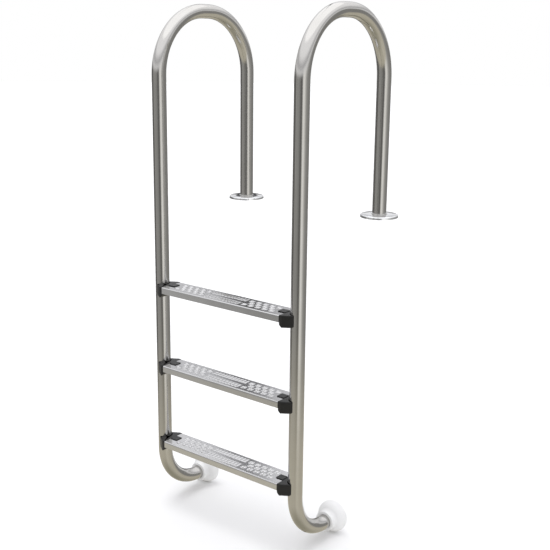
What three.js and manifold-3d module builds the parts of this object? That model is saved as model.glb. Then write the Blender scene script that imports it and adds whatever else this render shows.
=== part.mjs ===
// Swimming-pool ladder with three treads. Millimetres, +Z up.
// The origin lies on the deck, midway between the two deck legs. +X runs along the treads
// and +Y points away from the water, so the pool legs stand at negative Y.
import * as THREE from "three";
import { mergeVertices } from "three/addons/utils/BufferGeometryUtils.js";
import Module from "manifold-3d";

// Driving dimensions
const railSpacing = 520; // between the two rails' centre lines
const tubeDiameter = 42.4;
const tubeWall = 1.5;
const legSpan = 400; // from the deck leg to the pool leg
const archStart = 410; // height where the deck leg and the pool leg end and the arch starts
const archBend = 187; // centre-line radius of the arch's two bends
const footStart = -757; // height where the pool leg ends and the foot's bend starts
const footBend = 145; // centre-line radius of the foot's bend
const treadPitch = 250;
const topTreadDrop = 215; // deck level to the upper tread's top
const treadDepth = 81;
const treadLength = 448;
const treadSheet = 1.5;
const lipHeight = 20;
const treadEdgeRadius = 3;
const bracketHeight = 35;
const bracketRise = 1; // the bracket's top above the tread's top
const bumperReach = 208; // pool leg's centre line to the bumper's face, which rests on the wall
const bumperLength = 58;
const coverDiameter = 114;
const coverHeight = 9;
const plateDiameter = 96;
const plateThickness = 5;
const windowSize = 20; // square hole at each tread end for the cover tab's plug
const windowStart = 3; // from the tread's end plane to the window
const boltDiameter = 8;
const boltDrop = 13; // bolt axis below the tread's top
const boltReach = 27; // tread's end plane to the bolt's end inside the rail
const headRadius = 7.5; // to the corners of the bolt's hexagon head
const headHeight = 5.3;
const washerRadius = 8.5;
const washerThickness = 1.6;
const nutBodyRadius = 5.5; // rivet nut set in the rail's wall
const nutLength = 15;
const nutFlangeRadius = 7;
const nutFlange = 1.2;
const bumperFront = 13; // solid thickness from the bumper's face to the tube's end
const gap = 0.3; // between touching pieces

const tubeRadius = tubeDiameter / 2;
const poolLegY = -legSpan;
const treadEnd = treadLength / 2;
const saddleDepth = railSpacing / 2 - treadEnd; // tread's end plane to the rail's centre line
const nutFace = saddleDepth - tubeRadius - gap; // end plane to where the nut's flange meets the tube
const socketBottom = bumperLength - bumperFront + gap; // depth of the tube's socket in the bumper
const treadTops = [0, 1, 2].map((i) => -topTreadDrop - i * treadPitch);
const treadNames = ["upper", "middle", "lower"];
const sides = [
  { name: "left", sign: -1 },
  { name: "right", sign: 1 },
];

const wasm = await Module();
wasm.setup();

const ordered = (a, b) => (a < b ? [a, b] : [b, a]);

// A closed geometry as a solid that can be joined and cut.
function solid(geometry) {
  const bare = geometry.index ? geometry.toNonIndexed() : geometry.clone();
  bare.deleteAttribute("normal");
  bare.deleteAttribute("uv");
  const merged = mergeVertices(bare, 1e-3);
  const vertProperties = merged.attributes.position.array;
  const triVerts = new Uint32Array(merged.index.array);
  return new wasm.Manifold(new wasm.Mesh({ numProp: 3, vertProperties, triVerts }));
}

function geometryOf(body) {
  const mesh = body.getMesh();
  const geometry = new THREE.BufferGeometry();
  geometry.setAttribute("position", new THREE.BufferAttribute(mesh.vertProperties, 3));
  geometry.setIndex(new THREE.BufferAttribute(mesh.triVerts, 1));
  geometry.computeVertexNormals();
  return geometry;
}

// A box given by its low and high corners.
function box(low, high) {
  const size = high.map((v, i) => v - low[i]);
  const middle = high.map((v, i) => (v + low[i]) / 2);
  return solid(new THREE.BoxGeometry(...size).translate(...middle));
}

// A round bar along X from x0 to x1 at height z.
function barAlongX(radius, x0, x1, z, y = 0, segments = 16) {
  const bar = new THREE.CylinderGeometry(radius, radius, x1 - x0, segments);
  return solid(bar.rotateZ(Math.PI / 2).translate((x0 + x1) / 2, y, z));
}

// A round bar along Z from z0 to z1.
function barAlongZ(radius, z0, z1, x = 0, y = 0, segments = 32) {
  const bar = new THREE.CylinderGeometry(radius, radius, z1 - z0, segments);
  return solid(bar.rotateX(Math.PI / 2).translate(x, y, (z0 + z1) / 2));
}

// An outline in the XY plane, drawn up from z0 to z1.
function prism(points, z0, z1) {
  const shape = new THREE.Shape(points.map(([x, y]) => new THREE.Vector2(x, y)));
  const options = { depth: z1 - z0, bevelEnabled: false };
  return new THREE.ExtrudeGeometry(shape, options).translate(0, 0, z0);
}

// A profile of [radius, height] points turned round the Z axis.
function turned(profile, segments) {
  const points = profile.map(([r, z]) => new THREE.Vector2(r, z));
  return new THREE.LatheGeometry(points, segments).rotateX(Math.PI / 2);
}

// Materials

function steel(roughness) {
  return new THREE.MeshStandardMaterial({ color: 0xc8c7c2, metalness: 1, roughness });
}

function blackPlastic() {
  return new THREE.MeshStandardMaterial({ color: 0x1b1b1a, metalness: 0, roughness: 0.45 });
}

function whitePlastic() {
  return new THREE.MeshStandardMaterial({ color: 0xf3f3f1, metalness: 0, roughness: 0.4 });
}

function named(name, geometry, material) {
  const mesh = new THREE.Mesh(geometry, material);
  mesh.name = name;
  return mesh;
}

// A path in the YZ plane whose stations are given one by one, so a straight run is one step.
class StationPath extends THREE.Curve {
  constructor(stations) {
    super();
    this.stations = stations;
  }

  at(u) {
    return this.stations[Math.round(u * (this.stations.length - 1))];
  }

  getPointAt(u) {
    return this.at(u).point.clone();
  }

  getTangentAt(u) {
    return this.at(u).tangent.clone();
  }
}

// Stations of the rail's centre line, from the deck leg's end over the arch to the foot's end.
function railStations() {
  const quarter = Math.PI / 2;
  const archSteps = 10;
  const footSteps = 9;
  const stations = [];
  const add = (y, z, ty, tz) => {
    stations.push({ point: new THREE.Vector3(0, y, z), tangent: new THREE.Vector3(0, ty, tz) });
  };
  // A bend round (y, z), anticlockwise as seen with +Y to the right and +Z up.
  const bend = (y, z, radius, from, to, steps) => {
    for (let i = 0; i <= steps; i++) {
      const a = from + ((to - from) * i) / steps;
      add(y + radius * Math.cos(a), z + radius * Math.sin(a), -Math.sin(a), Math.cos(a));
    }
  };
  add(0, 0, 0, 1);
  bend(-archBend, archStart, archBend, 0, quarter, archSteps);
  bend(poolLegY + archBend, archStart, archBend, quarter, 2 * quarter, archSteps);
  bend(poolLegY + footBend, footStart, footBend, 2 * quarter, 3 * quarter, footSteps);
  add(poolLegY + bumperReach - bumperFront, footStart - footBend, 1, 0);
  return stations;
}

// The bent tube of one rail, open at both ends, with three holes for the rivet nuts on its
// inner side.
function railGeometry(side) {
  const stations = railStations();
  const ring = new THREE.Shape().absarc(0, 0, tubeRadius, 0, 2 * Math.PI);
  ring.holes.push(new THREE.Path().absarc(0, 0, tubeRadius - tubeWall, 0, 2 * Math.PI));
  const options = {
    steps: stations.length - 1,
    curveSegments: 10,
    bevelEnabled: false,
    extrudePath: new StationPath(stations),
  };
  const drillEnds = ordered(0, -side.sign * tubeDiameter);
  let tube = solid(new THREE.ExtrudeGeometry(ring, options));
  for (const top of treadTops) {
    tube = tube.subtract(barAlongX(nutBodyRadius + gap, ...drillEnds, top - boltDrop, poolLegY));
  }
  return geometryOf(tube);
}

// Deck leg's foot

// Flat fixing plate round the tube, with four screw holes.
function deckPlateGeometry() {
  const screws = 4;
  const screwCircle = 36; // radius of the circle the holes stand on
  const screwHole = 4.5;
  const [low, high] = [-1, plateThickness + 1];
  let plate = barAlongZ(plateDiameter / 2, 0, plateThickness);
  plate = plate.subtract(barAlongZ(tubeRadius + gap, low, high));
  for (let i = 0; i < screws; i++) {
    const a = (2 * Math.PI * (i + 0.5)) / screws;
    const [x, y] = [screwCircle * Math.cos(a), screwCircle * Math.sin(a)];
    plate = plate.subtract(barAlongZ(screwHole, low, high, x, y, 12));
  }
  return geometryOf(plate);
}

// Dished cover over the plate: a thin turned shell, open below.
function deckCoverGeometry() {
  const sheet = 1.3;
  const rim = coverDiameter / 2;
  const bore = tubeRadius + 0.8;
  const wallTop = 5.4; // where the upright rim starts to turn over
  const shoulder = 7.6; // where the gentle slope up to the tube starts
  const turnIn = 2.2; // shoulder's distance inside the rim
  const profile = [
    [rim - sheet, 0],
    [rim, 0],
    [rim, wallTop],
    [rim - 0.6, wallTop + 1.2],
    [rim - turnIn, shoulder],
    [bore, coverHeight],
    [bore, coverHeight - sheet],
    [rim - turnIn - sheet, shoulder - sheet],
    [rim - sheet, wallTop - sheet],
    [rim - sheet, 0],
  ];
  return turned(profile, 36);
}

// Tread

// Pressed channel: a flat top with two lips, and a window at each end for the cover tab.
function treadGeometry() {
  const half = treadDepth / 2;
  const inner = half - treadSheet;
  const inside = treadEdgeRadius - treadSheet;
  const profile = new THREE.Shape();
  profile.moveTo(-half, -lipHeight);
  profile.lineTo(-inner, -lipHeight);
  profile.lineTo(-inner, -treadEdgeRadius);
  profile.absarc(-half + treadEdgeRadius, -treadEdgeRadius, inside, Math.PI, Math.PI / 2, true);
  profile.absarc(half - treadEdgeRadius, -treadEdgeRadius, inside, Math.PI / 2, 0, true);
  profile.lineTo(inner, -lipHeight);
  profile.lineTo(half, -lipHeight);
  profile.lineTo(half, -treadEdgeRadius);
  profile.absarc(half - treadEdgeRadius, -treadEdgeRadius, treadEdgeRadius, 0, Math.PI / 2, false);
  profile.absarc(-half + treadEdgeRadius, -treadEdgeRadius, treadEdgeRadius, Math.PI / 2, Math.PI, false);
  const length = treadLength - 2 * gap;
  const options = { depth: length, curveSegments: 4, bevelEnabled: false };
  const channel = new THREE.ExtrudeGeometry(profile, options).translate(0, 0, -length / 2);
  // The profile's x becomes Y, its y becomes Z, and the drawn length becomes X.
  const turn = new THREE.Matrix4().makeBasis(
    new THREE.Vector3(0, 1, 0),
    new THREE.Vector3(0, 0, 1),
    new THREE.Vector3(1, 0, 0),
  );
  const cut = 5; // above and below the sheet
  let tread = solid(channel.applyMatrix4(turn));
  for (const { sign } of sides) {
    const near = treadEnd - windowStart;
    const [x0, x1] = ordered(sign * near, sign * (near - windowSize));
    tread = tread.subtract(box([x0, -windowSize / 2, -cut], [x1, windowSize / 2, cut]));
  }
  return geometryOf(tread);
}

// End fittings. Each is drawn for the right-hand end, with x measured outwards from the tread's
// end plane, y from the rail's centre line and z from the tread's top.

const armTip = saddleDepth + 1; // end of the bracket's two arms, just past the tube's centre

// Plan of the bracket: full tread depth at the tread, tapering to two arms round the tube.
function bracketPlan() {
  const half = treadDepth / 2;
  const taperStart = 10;
  const taperEnd = saddleDepth - 3;
  const armHalf = 25; // half the width over both arms
  const bevel = 3;
  return [
    [0, -half],
    [taperStart, -half + 1],
    [taperEnd, -armHalf],
    [armTip, -armHalf + bevel],
    [armTip, armHalf - bevel],
    [taperEnd, armHalf],
    [taperStart, half - 1],
    [0, half],
  ];
}

// Front view of the bracket, with a deep chamfer below the tread and small ones elsewhere.
function bracketFront() {
  const top = bracketRise;
  const bottom = bracketRise - bracketHeight;
  const deep = 11;
  const low = 4;
  const small = 1.5;
  return [
    [0, top],
    [0, bottom + deep],
    [deep - 2, bottom],
    [armTip - low, bottom],
    [armTip, bottom + low],
    [armTip, top - small],
    [armTip - small, top],
  ];
}

function bracketGeometry() {
  const tall = 2 * bracketHeight;
  const plan = solid(prism(bracketPlan(), -tall, tall));
  // The front view's y becomes Z, and it is drawn along Y.
  const front = prism(bracketFront(), -treadDepth, treadDepth).rotateX(Math.PI / 2);
  let bracket = plan.intersect(solid(front));
  // Two cheeks carry the tread from inside, one each side of the bolt's head.
  const cheekLength = 30;
  const cheekInner = 14;
  const cheekOuter = treadDepth / 2 - treadEdgeRadius;
  const cheekTop = -treadSheet - gap;
  const cheekBottom = -lipHeight + 1.5;
  for (const turn of [1, -1]) {
    const [y0, y1] = ordered(turn * cheekInner, turn * cheekOuter);
    bracket = bracket.add(box([-cheekLength, y0, cheekBottom], [1, y1, cheekTop]));
  }
  const boltHole = boltDiameter / 2 + 0.5;
  const flangeRecess = nutFlangeRadius + 0.8;
  bracket = bracket.subtract(barAlongZ(tubeRadius + gap, -tall, tall, saddleDepth, 0, 40));
  bracket = bracket.subtract(barAlongX(boltHole, -1, saddleDepth, -boltDrop));
  const recessStart = nutFace - nutFlange - gap;
  bracket = bracket.subtract(barAlongX(flangeRecess, recessStart, saddleDepth, -boltDrop));
  return geometryOf(bracket);
}

// Square cover tab with a plug that clips in the tread's window.
function tabGeometry() {
  const size = 25;
  const thickness = 2;
  const plug = windowSize / 2 - 0.5; // half its width
  const plugDepth = 4;
  const middle = -windowStart - windowSize / 2;
  const plate = box([-size - gap, -size / 2, gap], [-gap, size / 2, gap + thickness]);
  const bung = box([middle - plug, -plug, -plugDepth], [middle + plug, plug, gap + thickness / 2]);
  return geometryOf(plate.add(bung));
}

// Hexagon bolt from inside the tread's end into the rail.
function boltGeometry() {
  const headFace = -gap - washerThickness - gap;
  const head = barAlongX(headRadius, headFace - headHeight, headFace, -boltDrop, 0, 6);
  const shank = barAlongX(boltDiameter / 2, headFace - 1, boltReach, -boltDrop);
  return geometryOf(head.add(shank));
}

function washerGeometry() {
  const disc = barAlongX(washerRadius, -gap - washerThickness, -gap, -boltDrop);
  const bore = barAlongX(boltDiameter / 2 + gap, -2 * washerThickness, washerThickness, -boltDrop);
  return geometryOf(disc.subtract(bore));
}

// Rivet nut set in the rail's wall, with its flange on the outside.
function rivetNutGeometry() {
  const end = nutFace + nutLength;
  const flange = barAlongX(nutFlangeRadius, nutFace - nutFlange, nutFace, -boltDrop);
  const body = barAlongX(nutBodyRadius, nutFace - nutFlange / 2, end, -boltDrop);
  const bore = barAlongX(boltDiameter / 2 + gap, 0, end + nutLength, -boltDrop);
  return geometryOf(flange.add(body).subtract(bore));
}

// Wall bumper: a collar round the tube's end, a waist, and a bell with a rounded face. It is
// turned about Z, with the face at the top.
function bumperGeometry() {
  const bell = 48; // largest radius
  const rimRound = 11; // rounding from the face to the bell's side
  const rimWidth = 3; // the straight stretch of the bell's side
  const flare = 26; // rounding from the bell's side down to the waist
  const waist = 29.5;
  const waistTop = 13.5;
  const collar = 32.4;
  const collarLength = 11.5;
  const chamfer = 2;
  const bore = tubeRadius + gap;
  const rimStart = bumperLength - rimRound;
  const profile = [[0, bumperLength]];
  const arc = (r, z, radius, from, to, steps) => {
    for (let i = 0; i <= steps; i++) {
      const a = from + ((to - from) * i) / steps;
      profile.push([r + radius * Math.cos(a), z + radius * Math.sin(a)]);
    }
  };
  arc(bell - rimRound, rimStart, rimRound, Math.PI / 2, 0, 4);
  arc(bell - flare, rimStart - rimWidth, flare, 0, -Math.PI * 0.36, 5);
  profile.push(
    [waist, waistTop],
    [waist, collarLength],
    [collar, collarLength - chamfer],
    [collar, chamfer],
    [collar - chamfer, 0],
    [bore + chamfer, 0],
    [bore, chamfer],
    [bore, socketBottom],
    [0, socketBottom],
  );
  return turned(profile.reverse(), 28);
}

// Assembly

const ladder = new THREE.Group();

for (const side of sides) {
  const rail = named(side.name + "_rail", railGeometry(side), steel(0.28));
  rail.position.x = (side.sign * railSpacing) / 2;
  ladder.add(rail);

  const foot = new THREE.Group();
  foot.position.x = (side.sign * railSpacing) / 2;
  foot.add(named(side.name + "_deck_plate", deckPlateGeometry(), steel(0.4)));
  foot.add(named(side.name + "_deck_cover", deckCoverGeometry(), steel(0.08)));
  ladder.add(foot);

  const bumper = named(side.name + "_wall_bumper", bumperGeometry(), whitePlastic());
  bumper.rotation.x = -Math.PI / 2;
  bumper.position.set(
    (side.sign * railSpacing) / 2,
    poolLegY + bumperReach - bumperLength,
    footStart - footBend,
  );
  ladder.add(bumper);
}

treadTops.forEach((top, i) => {
  const step = new THREE.Group();
  step.position.set(0, poolLegY, top);
  step.add(named(treadNames[i] + "_tread", treadGeometry(), steel(0.35)));
  for (const side of sides) {
    const label = treadNames[i] + "_" + side.name + "_";
    const end = new THREE.Group();
    end.position.x = side.sign * treadEnd;
    end.rotation.z = side.sign > 0 ? 0 : Math.PI;
    end.add(named(label + "bracket", bracketGeometry(), blackPlastic()));
    end.add(named(label + "tab", tabGeometry(), blackPlastic()));
    end.add(named(label + "bolt", boltGeometry(), steel(0.3)));
    end.add(named(label + "washer", washerGeometry(), steel(0.4)));
    end.add(named(label + "rivet_nut", rivetNutGeometry(), steel(0.5)));
    step.add(end);
  }
  ladder.add(step);
});

export default ladder;
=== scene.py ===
"""Looks of the pool ladder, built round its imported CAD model. Metres, +Z up, the CAD model's own frame."""

import math

import bmesh
import bpy
import numpy as np
from mathutils import Matrix, Vector


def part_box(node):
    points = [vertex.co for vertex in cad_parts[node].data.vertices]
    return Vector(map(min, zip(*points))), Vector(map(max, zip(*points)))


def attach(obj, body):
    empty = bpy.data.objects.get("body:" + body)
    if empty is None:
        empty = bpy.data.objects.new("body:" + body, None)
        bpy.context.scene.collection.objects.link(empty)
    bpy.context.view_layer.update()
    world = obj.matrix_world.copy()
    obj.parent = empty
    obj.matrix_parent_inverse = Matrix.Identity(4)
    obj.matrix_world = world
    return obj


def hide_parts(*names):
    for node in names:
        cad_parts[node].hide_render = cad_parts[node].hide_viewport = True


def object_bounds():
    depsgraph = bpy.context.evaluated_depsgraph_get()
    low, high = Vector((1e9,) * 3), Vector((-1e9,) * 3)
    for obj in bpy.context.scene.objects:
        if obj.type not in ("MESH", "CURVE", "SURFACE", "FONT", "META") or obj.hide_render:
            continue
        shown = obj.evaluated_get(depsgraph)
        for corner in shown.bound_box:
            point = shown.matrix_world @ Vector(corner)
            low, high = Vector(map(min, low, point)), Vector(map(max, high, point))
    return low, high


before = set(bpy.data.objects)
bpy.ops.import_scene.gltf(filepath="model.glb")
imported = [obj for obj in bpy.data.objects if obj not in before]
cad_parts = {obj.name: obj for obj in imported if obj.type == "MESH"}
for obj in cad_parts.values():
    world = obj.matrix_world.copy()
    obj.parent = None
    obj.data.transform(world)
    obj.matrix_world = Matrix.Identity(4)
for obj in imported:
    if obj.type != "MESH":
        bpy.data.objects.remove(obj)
cad_low, cad_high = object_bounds()

MM = 0.001
GAP = 0.3 * MM  # between touching CAD pieces
SIDES = (("left", -1), ("right", 1))
LEVELS = ("upper", "middle", "lower")

# Sizes that the CAD boxes don't give
TUBE_WALL = 1.5 * MM
ARCH_BEND = 187 * MM  # centre-line radii of the rail's bends
FOOT_BEND = 145 * MM
SHEET = 1.5 * MM  # tread sheet
TREAD_EDGE = 3 * MM  # outside radius of the tread's folds
BUMPER_FRONT = 13 * MM  # solid thickness in front of the tube's end
WINDOW_START = 3 * MM  # tread end to the window for the cover tab
WINDOW_SIZE = 20 * MM

rail_low, rail_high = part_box("right_rail")
RAIL_X = (rail_low.x + rail_high.x) / 2
TUBE_RADIUS = (rail_high.x - rail_low.x) / 2
POOL_LEG_Y = rail_low.y + TUBE_RADIUS
FLOOR_Z = cad_low.z


# Camera


def add_camera():
    """A three-quarter view from the front right that looks down on the treads."""
    azimuth, down, roll = (math.radians(a) for a in (38.08, 13.19, 0.63))
    place = (1.7014, -2.3453, 0.5133)
    lens, sensor_width, shift = 60.44, 36, -0.033
    along_ground = math.cos(down)
    ahead = Vector((-math.sin(azimuth) * along_ground, math.cos(azimuth) * along_ground, -math.sin(down)))
    level = Vector((math.cos(azimuth), math.sin(azimuth), 0))
    upright = level.cross(ahead)
    right = level * math.cos(roll) + upright * math.sin(roll)
    up = upright * math.cos(roll) - level * math.sin(roll)
    data = bpy.data.cameras.new("camera")
    data.sensor_width = sensor_width
    data.lens = lens
    data.shift_y = shift
    camera = bpy.data.objects.new("camera", data)
    camera.matrix_world = Matrix((right, up, -ahead)).transposed().to_4x4()
    camera.location = place
    bpy.context.scene.collection.objects.link(camera)
    bpy.context.scene.camera = camera


# Node helpers

# Sockets of a Mix node that mixes colours
MIX_FACTOR, MIX_FIRST, MIX_SECOND, MIX_RESULT = 0, 6, 7, 2


class Nodes:
    """Short calls for building one material's or world's node tree."""

    def __init__(self, tree):
        self.tree = tree
        self.tree.nodes.clear()

    def add(self, kind, **values):
        """A new node; a value named like one of its attributes sets that, any other goes to a socket."""
        node = self.tree.nodes.new(kind)
        for key, value in values.items():
            if hasattr(node, key):
                setattr(node, key, value)
            else:
                self.put(node.inputs[key.replace("_", " ")], value)
        return node

    def put(self, socket, value):
        """Links another node's output to a socket, or sets the socket's own value."""
        if isinstance(value, bpy.types.NodeSocket):
            self.tree.links.new(value, socket)
        else:
            socket.default_value = value

    def noise(self, vector, scale, detail, stretch=(1, 1, 1)):
        """A noise pattern from 0 to 1, drawn out along an axis by a small stretch value."""
        mapping = self.add("ShaderNodeMapping", Vector=vector, Scale=stretch)
        made = self.add("ShaderNodeTexNoise", Vector=mapping.outputs[0], Scale=scale, Detail=detail)
        return made.outputs["Fac"]

    def span(self, value, low, high, start=0.0, end=1.0):
        """A value from start..end brought to low..high."""
        ends = {"From_Min": start, "From_Max": end, "To_Min": low, "To_Max": high}
        return self.add("ShaderNodeMapRange", Value=value, **ends).outputs[0]

    def combine(self, operation, first, second):
        """The sum or product of two values."""
        made = self.add("ShaderNodeMath", operation=operation)
        self.put(made.inputs[0], first)
        self.put(made.inputs[1], second)
        return made.outputs[0]

    def mix(self, factor, first, second):
        """A colour between two, each of them a colour or a socket."""
        made = self.add("ShaderNodeMix", data_type="RGBA")
        self.put(made.inputs[MIX_FACTOR], factor)
        for index, colour in ((MIX_FIRST, first), (MIX_SECOND, second)):
            linked = isinstance(colour, bpy.types.NodeSocket)
            self.put(made.inputs[index], colour if linked else (*colour, 1))
        return made.outputs[MIX_RESULT]

    def bump(self, height, strength, distance):
        """A normal tilted by a height pattern."""
        return self.add("ShaderNodeBump", Height=height, Strength=strength, Distance=distance).outputs[0]


def surface(name, build):
    """A material whose Principled shader takes the patterns and values that build(nodes, place) returns."""
    material = bpy.data.materials.new(name)
    material.use_nodes = True
    nodes = Nodes(material.node_tree)
    shader = nodes.add("ShaderNodeBsdfPrincipled")
    place = nodes.add("ShaderNodeTexCoord").outputs["Object"]
    for socket, value in build(nodes, place).items():
        nodes.put(shader.inputs[socket], value)
    nodes.add("ShaderNodeOutputMaterial", Surface=shader.outputs[0])
    return material


# Materials


def satin_tube(nodes, place):
    """Satin polished tube: fine lines along the tube and faint handling marks."""
    along = nodes.add("ShaderNodeAttribute", attribute_name="flow").outputs["Vector"]
    lines = nodes.noise(along, scale=900, detail=3, stretch=(1, 1, 0.012))
    bands = nodes.noise(along, scale=60, detail=2, stretch=(1, 1, 0.08))
    marks = nodes.noise(place, scale=14, detail=5)
    return {
        "Base Color": nodes.mix(marks, (0.54, 0.53, 0.505), (0.62, 0.61, 0.59)),
        "Roughness": nodes.combine("ADD", nodes.span(lines, 0.0, 0.08), nodes.span(bands, 0.08, 0.14)),
        "Normal": nodes.bump(lines, strength=0.12, distance=0.2 * MM),
        "Metallic": 1,
    }


def pressed_sheet(nodes, place):
    """Tread sheet: brushed along its length, a little duller between the marks of use."""
    lines = nodes.noise(place, scale=700, detail=3, stretch=(0.02, 1, 1))
    marks = nodes.noise(place, scale=22, detail=5)
    return {
        "Base Color": nodes.mix(marks, (0.61, 0.61, 0.605), (0.71, 0.71, 0.72)),
        "Roughness": nodes.combine("ADD", nodes.span(lines, 0.0, 0.08), nodes.span(marks, 0.08, 0.15)),
        "Normal": nodes.bump(lines, strength=0.05, distance=0.2 * MM),
        "Metallic": 1,
    }


def polished_cover(nodes, place):
    """Polished flange cover, slightly wavy, with hairline scratches and a few cloudy patches."""
    clouds = nodes.noise(place, scale=40, detail=4)
    hairs = nodes.noise(place, scale=1400, detail=2, stretch=(1, 0.05, 1))
    waves = nodes.noise(place, scale=55, detail=2)
    scratched = nodes.bump(hairs, strength=0.06, distance=0.2 * MM)
    wavy = nodes.bump(waves, strength=0.35, distance=1.2 * MM)
    nodes.put(scratched.node.inputs["Normal"], wavy)
    return {
        "Base Color": nodes.mix(clouds, (0.84, 0.85, 0.86), (0.93, 0.94, 0.95)),
        "Roughness": nodes.span(clouds, 0.06, 0.17),
        "Normal": scratched,
        "Metallic": 1,
    }


def plain_steel(nodes, place):
    """Fasteners and plates: plain steel with a fine mottle."""
    mottle = nodes.noise(place, scale=160, detail=5)
    fine = nodes.noise(place, scale=1500, detail=2)
    return {
        "Base Color": nodes.mix(mottle, (0.40, 0.39, 0.37), (0.56, 0.555, 0.54)),
        "Roughness": nodes.span(mottle, 0.28, 0.42),
        "Normal": nodes.bump(fine, strength=0.2, distance=0.2 * MM),
        "Metallic": 1,
    }


def black_plastic(nodes, place):
    """Moulded black plastic with a fine grain."""
    patches = nodes.noise(place, scale=60, detail=4)
    grain = nodes.noise(place, scale=1300, detail=3)
    return {
        "Base Color": nodes.mix(patches, (0.008, 0.008, 0.0078), (0.014, 0.0138, 0.0135)),
        "Roughness": nodes.span(patches, 0.28, 0.40),
        "Normal": nodes.bump(grain, strength=0.3, distance=0.3 * MM),
        "Specular IOR Level": 0.4,
    }


def white_plastic(nodes, place):
    """Smooth moulded off-white plastic, very slightly mottled."""
    patches = nodes.noise(place, scale=35, detail=4)
    grain = nodes.noise(place, scale=700, detail=2)
    return {
        "Base Color": nodes.mix(patches, (0.80, 0.80, 0.80), (0.86, 0.86, 0.855)),
        "Roughness": nodes.span(patches, 0.32, 0.45),
        "Normal": nodes.bump(grain, strength=0.08, distance=0.3 * MM),
    }


def floor_paper(nodes, place):
    """Matt pale paper for the floor."""
    tone = nodes.noise(place, scale=3, detail=2)
    return {
        "Base Color": nodes.mix(tone, (0.88, 0.88, 0.88), (0.9, 0.9, 0.9)),
        "Roughness": 0.9,
        "Specular IOR Level": 0.0,
    }


LOOKS = {
    "rail_steel": satin_tube,
    "tread_steel": pressed_sheet,
    "cover_steel": polished_cover,
    "fixing_steel": plain_steel,
    "bracket_plastic": black_plastic,
    "bumper_plastic": white_plastic,
}
MATERIALS = {name: surface(name, build) for name, build in LOOKS.items()}


# Mesh helpers


def add_piece(name, points, faces, slot, node):
    """A smooth-shaded piece in a record slot's material. It stands for one CAD node."""
    mesh = bpy.data.meshes.new(name)
    mesh.from_pydata([tuple(p) for p in points], [], faces)
    mesh.materials.append(MATERIALS[slot])
    mesh.polygons.foreach_set("use_smooth", [True] * len(mesh.polygons))
    mesh.validate()
    piece = bpy.data.objects.new(name, mesh)
    bpy.context.scene.collection.objects.link(piece)
    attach(piece, "root")
    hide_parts(node)
    return piece


def sharp_edges(piece, degrees):
    """Keeps edges steeper than an angle crisp in the shading."""
    piece.data.set_sharp_from_angle(angle=math.radians(degrees))


def flat_caps(piece):
    """Flat shading on the faces with more than a quad's corners, which close a moulded shape."""
    quad = 4
    for polygon in piece.data.polygons:
        if len(polygon.vertices) > quad:
            polygon.use_smooth = False


def weld(piece):
    """Joins points that lie together, such as those of a turned profile on its axis."""
    together = 0.001 * MM
    work = bmesh.new()
    work.from_mesh(piece.data)
    bmesh.ops.remove_doubles(work, verts=work.verts, dist=together)
    bmesh.ops.recalc_face_normals(work, faces=work.faces)
    work.to_mesh(piece.data)
    work.free()


def weave(rows, columns, close_rows, close_columns, first=0):
    """Quads over a grid of rows x columns points, closed round either way."""
    faces = []
    for row in range(rows if close_rows else rows - 1):
        here = first + row * columns
        beyond = first + (row + 1) % rows * columns
        for column in range(columns if close_columns else columns - 1):
            beside = (column + 1) % columns
            faces.append((here + column, here + beside, beyond + beside, beyond + column))
    return faces


def add_loft(points, faces, rings):
    """Appends a solid through rings of points from bottom to top, closed by a face at each end."""
    first, around = len(points), len(rings[0])
    for ring in rings:
        points += ring
    faces += weave(len(rings), around, close_rows=False, close_columns=True, first=first)
    faces.append(tuple(range(first, first + around))[::-1])
    faces.append(tuple(range(len(points) - around, len(points))))


def add_block(points, faces, low, high, edge):
    """Appends a box with chamfered edges, in the caller's units."""
    low, high = np.array(low, float), np.array(high, float)
    rings = []
    for z, inset in ((low[2], edge), (low[2] + edge, 0), (high[2] - edge, 0), (high[2], edge)):
        x0, y0 = low[:2] + inset
        x1, y1 = high[:2] - inset
        ring = [(x0 + edge, y0), (x1 - edge, y0), (x1, y0 + edge), (x1, y1 - edge)]
        ring += [(x1 - edge, y1), (x0 + edge, y1), (x0, y1 - edge), (x0, y0 + edge)]
        rings.append([(x, y, z) for x, y in ring])
    add_loft(points, faces, rings)


def arc(centre, radius, start, end, steps):
    """Points round a centre in a plane, with angles in degrees."""
    angles = np.radians(np.linspace(start, end, steps + 1))
    return [(centre[0] + radius * math.cos(a), centre[1] + radius * math.sin(a)) for a in angles]


def turned(profile, segments, closed):
    """A profile of (radius, height) points turned round the Z axis: points and faces."""
    angles = np.linspace(0, 2 * math.pi, segments, endpoint=False)
    rows = [[(r * math.cos(a), r * math.sin(a), z) for a in angles] for r, z in profile]
    points = np.array(rows).reshape(-1, 3)
    return points, weave(len(profile), segments, close_rows=closed, close_columns=True)


# Rail. Its centre line is a list of stations in the YZ plane, each a point and a tangent.


def straight(start, end, tangent, steps):
    """Stations along a straight stretch, all but its last."""
    stations = []
    for t in np.linspace(0, 1, steps, endpoint=False):
        point = (start[0] + t * (end[0] - start[0]), start[1] + t * (end[1] - start[1]))
        stations.append((point, tangent))
    return stations


def bend(centre, radius, start, end, steps):
    """Stations along a bend between two angles in degrees, all but its last."""
    stations = []
    for a in np.radians(np.linspace(start, end, steps, endpoint=False)):
        point = (centre[0] + radius * math.cos(a), centre[1] + radius * math.sin(a))
        stations.append((point, (-math.sin(a), math.cos(a))))
    return stations


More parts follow.
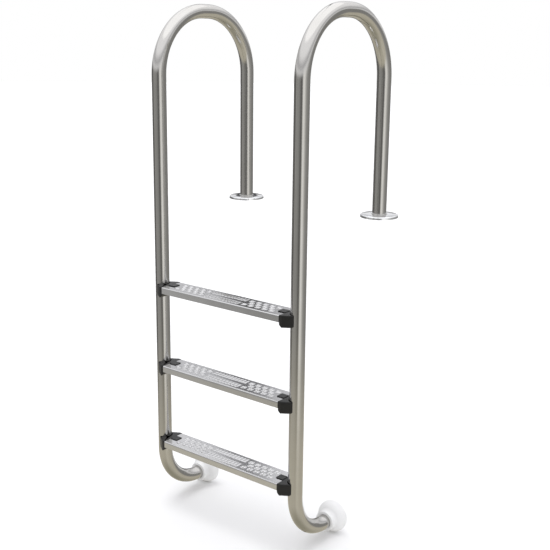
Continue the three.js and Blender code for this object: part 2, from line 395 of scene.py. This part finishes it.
def rail_stations():
    """The centre line from the deck leg's foot over the arch and down to the end in the bumper."""
    arch_start = rail_high.z - TUBE_RADIUS - ARCH_BEND
    arch_top = arch_start + ARCH_BEND
    arch_bend_y = POOL_LEG_Y + ARCH_BEND
    foot_axis = rail_low.z + TUBE_RADIUS
    foot_start = foot_axis + FOOT_BEND
    foot_bend_y = POOL_LEG_Y + FOOT_BEND
    foot_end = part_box("right_wall_bumper")[1].y - BUMPER_FRONT
    stations = straight((0, 0), (0, arch_start), (0, 1), steps=12)
    stations += bend((-ARCH_BEND, arch_start), ARCH_BEND, 0, 90, steps=40)
    stations += straight((-ARCH_BEND, arch_top), (arch_bend_y, arch_top), (-1, 0), steps=3)
    stations += bend((arch_bend_y, arch_start), ARCH_BEND, 90, 180, steps=40)
    stations += straight((POOL_LEG_Y, arch_start), (POOL_LEG_Y, foot_start), (0, -1), steps=30)
    stations += bend((foot_bend_y, foot_start), FOOT_BEND, 180, 270, steps=36)
    stations += straight((foot_bend_y, foot_axis), (foot_end, foot_axis), (1, 0), steps=3)
    stations.append(((foot_end, foot_axis), (1, 0)))
    return stations


def add_rail(side, sign):
    """One bent tube, hollow and open at both ends, with a flow attribute that runs along it."""
    segments = 72
    crisp = 40
    angles = np.linspace(0, 2 * math.pi, segments, endpoint=False)
    stations = rail_stations()
    centres = [station[0] for station in stations]
    lengths = np.cumsum([0] + [math.dist(a, b) for a, b in zip(centres, centres[1:])])
    order = range(len(stations))
    rings = [(index, TUBE_RADIUS) for index in order]
    rings += [(index, TUBE_RADIUS - TUBE_WALL) for index in reversed(order)]
    points, flow = [], []
    for index, radius in rings:
        (y, z), (tangent_y, tangent_z) = stations[index]
        for a in angles:
            u, v = radius * math.cos(a), radius * math.sin(a)
            points.append((sign * RAIL_X + u, y - v * tangent_z, z + v * tangent_y))
            flow.append((u, v, lengths[index]))
    faces = weave(len(rings), segments, close_rows=True, close_columns=True)
    rail = add_piece(side + "_rail_tube", points, faces, "rail_steel", side + "_rail")
    attribute = rail.data.attributes.new("flow", "FLOAT_VECTOR", "POINT")
    attribute.data.foreach_set("vector", np.array(flow).ravel())
    sharp_edges(rail, crisp)


# Deck flange cover


def add_cover(side, sign):
    """Thin turned cover: upright rim, rounded shoulder and a gentle slope up to a lip at the tube."""
    low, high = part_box(side + "_deck_cover")
    rim, top = (high.x - low.x) / 2, high.z
    thickness = 1.3 * MM
    bore = TUBE_RADIUS + 1.7 * MM
    foot = 1.0 * MM
    wall_top, lean = 5.2 * MM, 9
    shoulder, slope = 2.6 * MM, 12
    lip, lip_inset = 1.2 * MM, 0.6 * MM
    segments, crisp = 128, 35
    shoulder_x = rim - (wall_top - foot) * math.tan(math.radians(lean)) - shoulder
    outer = [(rim, 0), (rim, foot)]
    outer += arc((shoulder_x, wall_top), shoulder, lean, 90 - slope, steps=8)
    outer += arc((bore + lip, top - lip), lip, 90, 180, steps=5)
    inner = [(bore + lip_inset, top - thickness - lip / 2), (shoulder_x, wall_top + shoulder - thickness)]
    inner += [(shoulder_x + shoulder - thickness, wall_top), (rim - thickness, foot), (rim - thickness, 0)]
    points, faces = turned(outer + inner, segments, closed=True)
    points = points + np.array((sign * RAIL_X, 0, 0))
    faces = [face[::-1] for face in faces]
    cover = add_piece(side + "_flange_cover", points, faces, "cover_steel", side + "_deck_cover")
    sharp_edges(cover, crisp)


# Wall bumper


def bumper_profile(bell, length):
    """The bumper's half section as (radius, distance from the collar's end), from its face to its socket."""
    rim = 11 * MM
    rim_start = length - rim
    flare, flare_start, flare_angle = 26 * MM, rim_start - 3 * MM, 65
    waist, waist_end = 28.6 * MM, 11.5 * MM
    collar, collar_length, edge, groove = 30.8 * MM, 9 * MM, 1.5 * MM, 0.6 * MM
    bore = TUBE_RADIUS + GAP
    socket_end = length - BUMPER_FRONT + GAP
    profile = [(0, length), (bell - 2 * rim, length)]
    profile += arc((bell - rim, rim_start), rim, 90, 0, steps=14)
    profile += arc((bell - flare, flare_start), flare, 0, -flare_angle, steps=18)
    profile += [(waist, waist_end), (waist, collar_length + groove)]
    profile += arc((collar - edge, collar_length - edge), edge, 80, 0, steps=6)
    profile += arc((collar - edge, edge), edge, 0, -90, steps=6)
    profile += arc((bore + edge, edge), edge, 270, 180, steps=6)
    return profile + [(bore, socket_end), (0, socket_end)]


def add_bumper(side, sign):
    """Collar round the tube's end, waist and rounded bell, with a socket for the tube."""
    segments, crisp = 96, 50
    low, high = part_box(side + "_wall_bumper")
    profile = bumper_profile((high.x - low.x) / 2, high.y - low.y)
    points, faces = turned(profile, segments, closed=False)
    middle_z = (low.z + high.z) / 2
    placed = [(x + sign * RAIL_X, along + low.y, y + middle_z) for x, y, along in points]
    bumper = add_piece(side + "_bell_bumper", placed, faces, "bumper_plastic", side + "_wall_bumper")
    weld(bumper)
    sharp_edges(bumper, crisp)


# Tread


def spread(breaks, step):
    """Stations from the first break to the last, with one at each break and others about a step apart."""
    made = []
    for start, end in zip(breaks, breaks[1:]):
        count = max(1, round((end - start) / step))
        made += list(np.linspace(start, end, count, endpoint=False))
    return np.array(made + [breaks[-1]])


def pressed_height(x, y):
    """Height of the pressed pattern, at distances along and across from the tread's middle."""
    return add_ribs(add_rings(np.zeros_like(x), x, y), x, y)


def add_rings(height, x, y):
    """The height with the rings near both ends: three rows, each ring with a dimple in it."""
    pitch, first, row_distance = 24.5 * MM, 82.2 * MM, 18.2 * MM
    ring_middle, ring_half, ring_height = 6.2 * MM, 2.6 * MM, 1.3 * MM
    dimple, dimple_depth = 3.4 * MM, 0.8 * MM
    for row_y, start, count in ((row_distance, first, 5), (0, first + pitch / 2, 4)):
        for i in range(count):
            away = np.hypot(x - start - i * pitch, y - row_y)
            crest = np.clip(1 - np.abs(away - ring_middle) / ring_half, 0, 1)
            height += ring_height * np.sin(crest * math.pi / 2) ** 2
            height -= dimple_depth * np.clip(1 - away / dimple, 0, 1)
    return height


def add_ribs(height, x, y):
    """The height with cross ribs between the rings, and a groove at each edge of the plain middle strip."""
    pitch, rib_height, ribs_end = 12 * MM, 0.9 * MM, 68 * MM
    strip, border, groove = 8.5 * MM, 30.5 * MM, 0.5 * MM
    fade, border_fade, groove_half = 2 * MM, 3 * MM, 1 * MM
    band = np.clip((y - strip) / fade, 0, 1) * np.clip((border - y) / border_fade, 0, 1)
    inside = np.clip((ribs_end - x) / fade, 0, 1)
    height += band * inside * rib_height * (0.5 + 0.5 * np.cos(x / pitch * 2 * math.pi))
    return height - inside * groove * np.exp(-(((y - strip) / groove_half) ** 2))


def sheet_faces(solid):
    """Quads of a sheet on a grid of cells, some of them open: its top, underside and edges."""
    rows, columns = solid.shape[0] + 1, solid.shape[1] + 1
    at = np.arange(rows * columns).reshape(rows, columns)
    under = rows * columns
    corners = [at[:-1, :-1], at[1:, :-1], at[1:, 1:], at[:-1, 1:]]
    top = np.stack([c[solid] for c in corners], -1)
    underside = np.stack([c[solid] + under for c in corners[::-1]], -1)
    faces = [top, underside]
    around = np.pad(solid, 1)
    beside = (around[:-2, 1:-1], around[1:-1, 2:], around[2:, 1:-1], around[1:-1, :-2])
    for side, next_cell in enumerate(beside):
        edge = solid & ~next_cell
        start, end = corners[-side][edge], corners[-side - 1][edge]
        faces.append(np.stack([start, end, end + under, start + under], -1))
    return np.concatenate(faces)


def tread_section(half, drop, flat):
    """The section as (y, z, normal y, normal z), from the front lip's edge to the back lip's edge."""
    lip_steps, fold_steps = 5, 6
    inner = half - TREAD_EDGE
    fold = [(math.cos(a), math.sin(a)) for a in np.radians(np.linspace(180, 90, fold_steps + 1))]
    front = [(-half, z, -1, 0) for z in np.linspace(drop, -TREAD_EDGE, lip_steps + 1)[:-1]]
    front += [(TREAD_EDGE * c - inner, TREAD_EDGE * (s - 1), c, s) for c, s in fold[:-1]]
    back = [(-y, z, -c, s) for y, z, c, s in reversed(front)]
    return np.array(front + [(y, 0, 0, 1) for y in flat] + back)


def add_tread(level):
    """Pressed channel whose pattern shows on both sides of the sheet, with a window at each end."""
    grain, crisp = 1.2 * MM, 60
    low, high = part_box(level + "_tread")
    half, middle = (high.y - low.y) / 2, (high.y + low.y) / 2
    end, inner = high.x, half - TREAD_EDGE
    window_end = end + GAP - WINDOW_START
    window_start = window_end - WINDOW_SIZE
    window_half = WINDOW_SIZE / 2
    along = spread([-end, -window_end, -window_start, window_start, window_end, end], grain)
    flat = spread([-inner, -window_half, window_half, inner], grain)
    section = tread_section(half, low.z - high.z, flat)
    x, y = np.meshgrid(along, section[:, 0], indexing="ij")
    z = np.broadcast_to(section[:, 1], x.shape).copy()
    rim = (len(section) - len(flat)) // 2 + 1  # section points on each side that the pattern leaves alone
    z[:, rim:-rim] += pressed_height(np.abs(x[:, rim:-rim]), np.abs(y[:, rim:-rim]))
    outer = np.stack([x, y + middle, z + high.z], -1)
    inward = np.stack([np.zeros(len(section)), section[:, 2], section[:, 3]], -1) * SHEET
    points = np.concatenate([outer.reshape(-1, 3), (outer - inward).reshape(-1, 3)])
    cell_x = np.abs(along[:-1] + along[1:]) / 2
    cell_y = np.abs(section[:-1, 0] + section[1:, 0]) / 2
    solid = ~np.outer((cell_x > window_start) & (cell_x < window_end), cell_y < window_half)
    used, faces = np.unique(sheet_faces(solid), return_inverse=True)
    faces = faces.reshape(-1, 4).tolist()
    tread = add_piece(level + "_pressed_tread", points[used], faces, "tread_steel", level + "_tread")
    sharp_edges(tread, crisp)


# End fittings. Each is drawn for the right-hand end: x outwards from the tread's end plane, y from
# the rail's axis, z from the tread's top, all in millimetres.


def place_end(points, end, sign, top):
    """Moves end-fitting points, in millimetres, to one end of a tread."""
    moved = np.array(points, float) * MM
    moved[:, 0] += end
    moved[:, :2] *= sign
    return moved + np.array((0, POOL_LEG_Y, top))


def fillet(corners, radii, steps=5):
    """A closed outline whose corners are rounded where their radius isn't 0."""
    corners = [np.array(corner, float) for corner in corners]
    made = []
    for i, (here, radius) in enumerate(zip(corners, radii)):
        if radius == 0:
            made.append(tuple(here))
            continue
        before, after = corners[i - 1], corners[(i + 1) % len(corners)]
        back = (before - here) / np.linalg.norm(before - here)
        onward = (after - here) / np.linalg.norm(after - here)
        reach = radius / math.tan(math.acos(np.clip(back @ onward, -1, 1)) / 2)
        start, end = here + back * reach, here + onward * reach
        for t in np.linspace(0, 1, steps + 1):
            made.append(tuple((1 - t) ** 2 * start + 2 * t * (1 - t) * here + t**2 * end))
    return made


def bracket_outline():
    """Plan of the bracket: full depth at the tread, tapering to two arms round the tube."""
    half, shoulder, shoulder_half, arm_half, tube_x = 40.5, 10, 39.5, 25, 36
    past, taper = 1, 3  # the arms' reach past the tube's axis, and the cut across their tips' corners
    radii = [1.6, 4, 3, 0]
    saddle = (TUBE_RADIUS + GAP) / MM
    front = [(0, -half), (shoulder, -shoulder_half)]
    front += [(tube_x - taper, -arm_half), (tube_x + past, -arm_half + taper)]
    opening = math.degrees(math.asin(past / saddle))
    seat = arc((tube_x, 0), saddle, 270 + opening, 90 - opening, steps=36)
    back = [(x, -y) for x, y in reversed(front)]
    return np.array(fillet(front + seat + back, radii + [0] * len(seat) + radii[::-1]))


def bracket_levels(bottom, top, chamfer, low_chamfer):
    """Heights of the bracket's rings with the inset of each, which rounds the top and bottom edges."""
    round_top, round_bottom = 2.0, 1.4
    bottom_rings, chamfer_rings, side_rings, top_rings = 5, 6, 4, 6
    levels = []
    for a in np.linspace(0, math.pi / 2, bottom_rings):
        levels.append((bottom + round_bottom * (1 - math.cos(a)), round_bottom * (1 - math.sin(a))))
    levels += [(bottom + z, 0) for z in np.linspace(low_chamfer, chamfer, chamfer_rings)]
    levels += [(z, 0) for z in np.linspace(bottom + chamfer, top - round_top, side_rings)[1:-1]]
    for a in np.linspace(0, math.pi / 2, top_rings):
        levels.append((top - round_top * (1 - math.sin(a)), round_top * (1 - math.cos(a))))
    return levels


def bracket_rings(bottom, top):
    """The bracket's body: cut back in a curve under the tread's end, and chamfered under the arms' tips."""
    chamfer, cut_depth, cut_curve = 11, 9, 1.7
    low_chamfer, no_division_by_zero = 4, 1e-9
    outline = bracket_outline()
    tip = outline[:, 0].max()
    ahead = np.roll(outline, -1, 0) - np.roll(outline, 1, 0)
    outward = np.stack([ahead[:, 1], -ahead[:, 0]], -1)
    outward /= np.linalg.norm(outward, axis=1)[:, None] + no_division_by_zero
    rings = []
    for z, inset in bracket_levels(bottom, top, chamfer, low_chamfer):
        ring = outline - outward * inset
        cut = cut_depth * max(0.0, 1 - (z - bottom) / chamfer) ** cut_curve
        tip_cut = max(0.0, low_chamfer - (z - bottom))
        nearest = cut + inset if cut else 0
        furthest = tip - tip_cut - inset if tip_cut else tip
        ring[:, 0] = np.clip(ring[:, 0], nearest, furthest)
        rings.append([(x, y, z) for x, y in ring])
    return rings


def add_bracket(level, side, sign):
    """Moulded bracket with a saddle for the tube and two cheeks that fit inside the tread."""
    cheek_reach, cheek_overlap, cheek_edge, crisp = 30, 1, 0.8, 38
    cheek_sides, cheek_low, cheek_high = (14, 37.5), -18.5, -1.8
    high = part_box(level + "_tread")[1]
    bracket_low, bracket_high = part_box(f"{level}_{side}_bracket")
    points, faces = [], []
    add_loft(points, faces, bracket_rings((bracket_low.z - high.z) / MM, (bracket_high.z - high.z) / MM))
    for turn in (-1, 1):
        near, far = sorted(turn * y for y in cheek_sides)
        low_corner, high_corner = (-cheek_reach, near, cheek_low), (cheek_overlap, far, cheek_high)
        add_block(points, faces, low_corner, high_corner, cheek_edge)
    placed = place_end(points, high.x + GAP, sign, high.z)
    name = f"{level}_{side}_end_bracket"
    bracket = add_piece(name, placed, faces, "bracket_plastic", f"{level}_{side}_bracket")
    weld(bracket)
    sharp_edges(bracket, crisp)
    flat_caps(bracket)


def add_tab(level, side, sign):
    """Square cover tab with chamfered edges, and the plug that clips in the tread's window."""
    size, thickness, gap, edge, crisp = 25, 2, GAP / MM, 0.5, 30
    plug_play, plug_low, plug_high, plug_edge = 0.5, -4, 1, 0.4
    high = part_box(level + "_tread")[1]
    points, faces = [], []
    add_block(points, faces, (-size - gap, -size / 2, gap), (-gap, size / 2, gap + thickness), edge)
    middle = -(WINDOW_START + WINDOW_SIZE / 2) / MM
    plug = WINDOW_SIZE / 2 / MM - plug_play
    add_block(points, faces, (middle - plug, -plug, plug_low), (middle + plug, plug, plug_high), plug_edge)
    placed = place_end(points, high.x + GAP, sign, high.z)
    tab = add_piece(f"{level}_{side}_cover_tab", placed, faces, "bracket_plastic", f"{level}_{side}_tab")
    sharp_edges(tab, crisp)
    flat_caps(tab)


def dress_fixings():
    """The CAD's plates, bolts, washers and rivet nuts keep their shape and get a procedural steel."""
    for name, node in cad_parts.items():
        if name.endswith(("_deck_plate", "_bolt", "_washer", "_rivet_nut")):
            for slot in node.material_slots:
                slot.material = MATERIALS["fixing_steel"]


# Stage

FLOOR_RADIUS = 30
BACKDROP_RADIUS = 60


def add_floor():
    """Pale matt floor just under the feet, which shows in no reflection and casts no shadow."""
    place = (0, 0, FLOOR_Z - MM)
    bpy.ops.mesh.primitive_circle_add(vertices=96, radius=FLOOR_RADIUS, fill_type="NGON", location=place)
    floor = bpy.context.object
    floor.name = "floor"
    floor.data.materials.append(surface("floor_paper", floor_paper))
    floor.visible_glossy = False
    floor.visible_shadow = False


def add_backdrop():
    """A plain white backdrop all round that only the camera sees."""
    bpy.ops.mesh.primitive_uv_sphere_add(segments=48, ring_count=24, radius=BACKDROP_RADIUS)
    backdrop = bpy.context.object
    backdrop.name = "backdrop"
    material = bpy.data.materials.new("backdrop_white")
    material.use_nodes = True
    nodes = Nodes(material.node_tree)
    white = nodes.add("ShaderNodeEmission", Color=(1, 1, 1, 1), Strength=1.0)
    nodes.add("ShaderNodeOutputMaterial", Surface=white.outputs[0])
    backdrop.data.materials.append(material)
    for ray in ("diffuse", "glossy", "transmission", "volume_scatter", "shadow"):
        setattr(backdrop, "visible_" + ray, False)


# Studio surroundings, which light the ladder and show in its steel. The backdrop hides them from the
# camera. Bearings are in degrees, 0 along -Y and 90 along +X.
WALL_TINT = (1.0, 0.99, 0.965)
# Bearings with the brightness of the wall there
WALL_STOPS = [
    (-90, 0.13), (-64, 0.16), (-52, 0.36), (-46, 0.50), (-43, 0.46), (-40.5, 0.34), (-36, 0.31),
    (-28, 0.38), (-12, 0.35), (8, 0.29), (20, 0.20), (27, 0.12), (35, 0.15), (44, 0.34), (53, 0.98),
    (64, 1.08), (80, 0.88), (92, 0.60), (112, 0.38), (145, 0.30), (190, 0.28), (230, 0.2),
]
# Layers over the walls: colour, share, and the heights of a direction where the layer starts and is full.
LAYERS = (
    ((0.66, 0.62, 0.51), 0.9, -0.31, -0.43),  # warm floor
    ((0.38, 0.36, 0.28), 0.9, -0.68, -0.96),  # darker floor straight below
    ((1.0, 1.0, 1.02), 0.88, 0.05, 0.16),  # bright band above the walls
    ((0.60, 0.60, 0.62), 1.0, 0.19, 0.27),  # duller band
    ((1.15, 1.15, 1.18), 1.0, 0.31, 0.5),  # bright ceiling
)
# A dark doorway behind the ladder, which shows in the treads' tops: the bearings where each edge fades
DOORWAY_EDGES = ((218.1, 219.1), (220.7, 221.7))
DOORWAY_COLOUR = (0.03, 0.03, 0.032)
DOORWAY_SHARE = 0.95


def turn_value(bearing):
    """The radial gradient's value at a bearing."""
    return (bearing + 90) / 360


def wall_ramp(nodes, turn):
    """A colour ramp round the walls, from their stops."""
    anywhere = 0.5  # a new stop gets its place below
    made = nodes.add("ShaderNodeValToRGB", Fac=turn)
    made.color_ramp.interpolation = "EASE"
    elements = made.color_ramp.elements
    while len(elements) < len(WALL_STOPS):
        elements.new(anywhere)
    for element, (bearing, tone) in zip(elements, WALL_STOPS):
        element.position = turn_value(bearing)
        element.color = (tone * WALL_TINT[0], tone * WALL_TINT[1], tone * WALL_TINT[2], 1)
    return made.outputs[0]


def add_surroundings():
    """Grey walls with a broad bright side, a dark doorway, a bright ceiling and a warm floor."""
    world = bpy.data.worlds.new("studio")
    bpy.context.scene.world = world
    world.use_nodes = True
    nodes = Nodes(world.node_tree)
    direction = nodes.add("ShaderNodeTexCoord").outputs["Generated"]
    turn = nodes.add("ShaderNodeTexGradient", gradient_type="RADIAL", Vector=direction).outputs["Fac"]
    height = nodes.add("ShaderNodeSeparateXYZ", Vector=direction).outputs["Z"]
    colour = wall_ramp(nodes, turn)
    for layer_colour, share, start, full in LAYERS:
        colour = nodes.mix(nodes.span(height, 0, share, start, full), colour, layer_colour)
    first_edge, second_edge = [[turn_value(bearing) for bearing in edge] for edge in DOORWAY_EDGES]
    opens = nodes.span(turn, 0, 1, *first_edge)
    closes = nodes.span(turn, DOORWAY_SHARE, 0, *second_edge)
    colour = nodes.mix(nodes.combine("MULTIPLY", opens, closes), colour, DOORWAY_COLOUR)
    glow = nodes.add("ShaderNodeBackground", Color=colour, Strength=1.0)
    nodes.add("ShaderNodeOutputWorld", Surface=glow.outputs[0])


def add_lamps():
    """A soft light from above that shows in no reflection, and a ceiling disk that only shows in them."""
    sun = bpy.data.lights.new("top_light", "SUN")
    sun.energy = 0.8
    sun.angle = math.radians(32)
    top_light = bpy.data.objects.new("top_light", sun)
    top_light.rotation_euler = (math.radians(8), math.radians(-6), 0)
    top_light.visible_glossy = False
    disk = bpy.data.lights.new("ceiling_glow", "AREA")
    disk.shape = "DISK"
    disk.size = 4
    disk.energy = 15
    ceiling_glow = bpy.data.objects.new("ceiling_glow", disk)
    ceiling_glow.location = (0, 0, 2.6)
    ceiling_glow.visible_diffuse = False
    ceiling_glow.visible_camera = False
    for lamp in (top_light, ceiling_glow):
        bpy.context.scene.collection.objects.link(lamp)


add_camera()
bpy.context.scene.view_settings.view_transform = "Standard"
add_floor()
add_backdrop()
add_surroundings()
add_lamps()
for side, sign in SIDES:
    add_rail(side, sign)
    add_cover(side, sign)
    add_bumper(side, sign)
for level in LEVELS:
    add_tread(level)
    for side, sign in SIDES:
        add_bracket(level, side, sign)
        add_tab(level, side, sign)
dress_fixings()
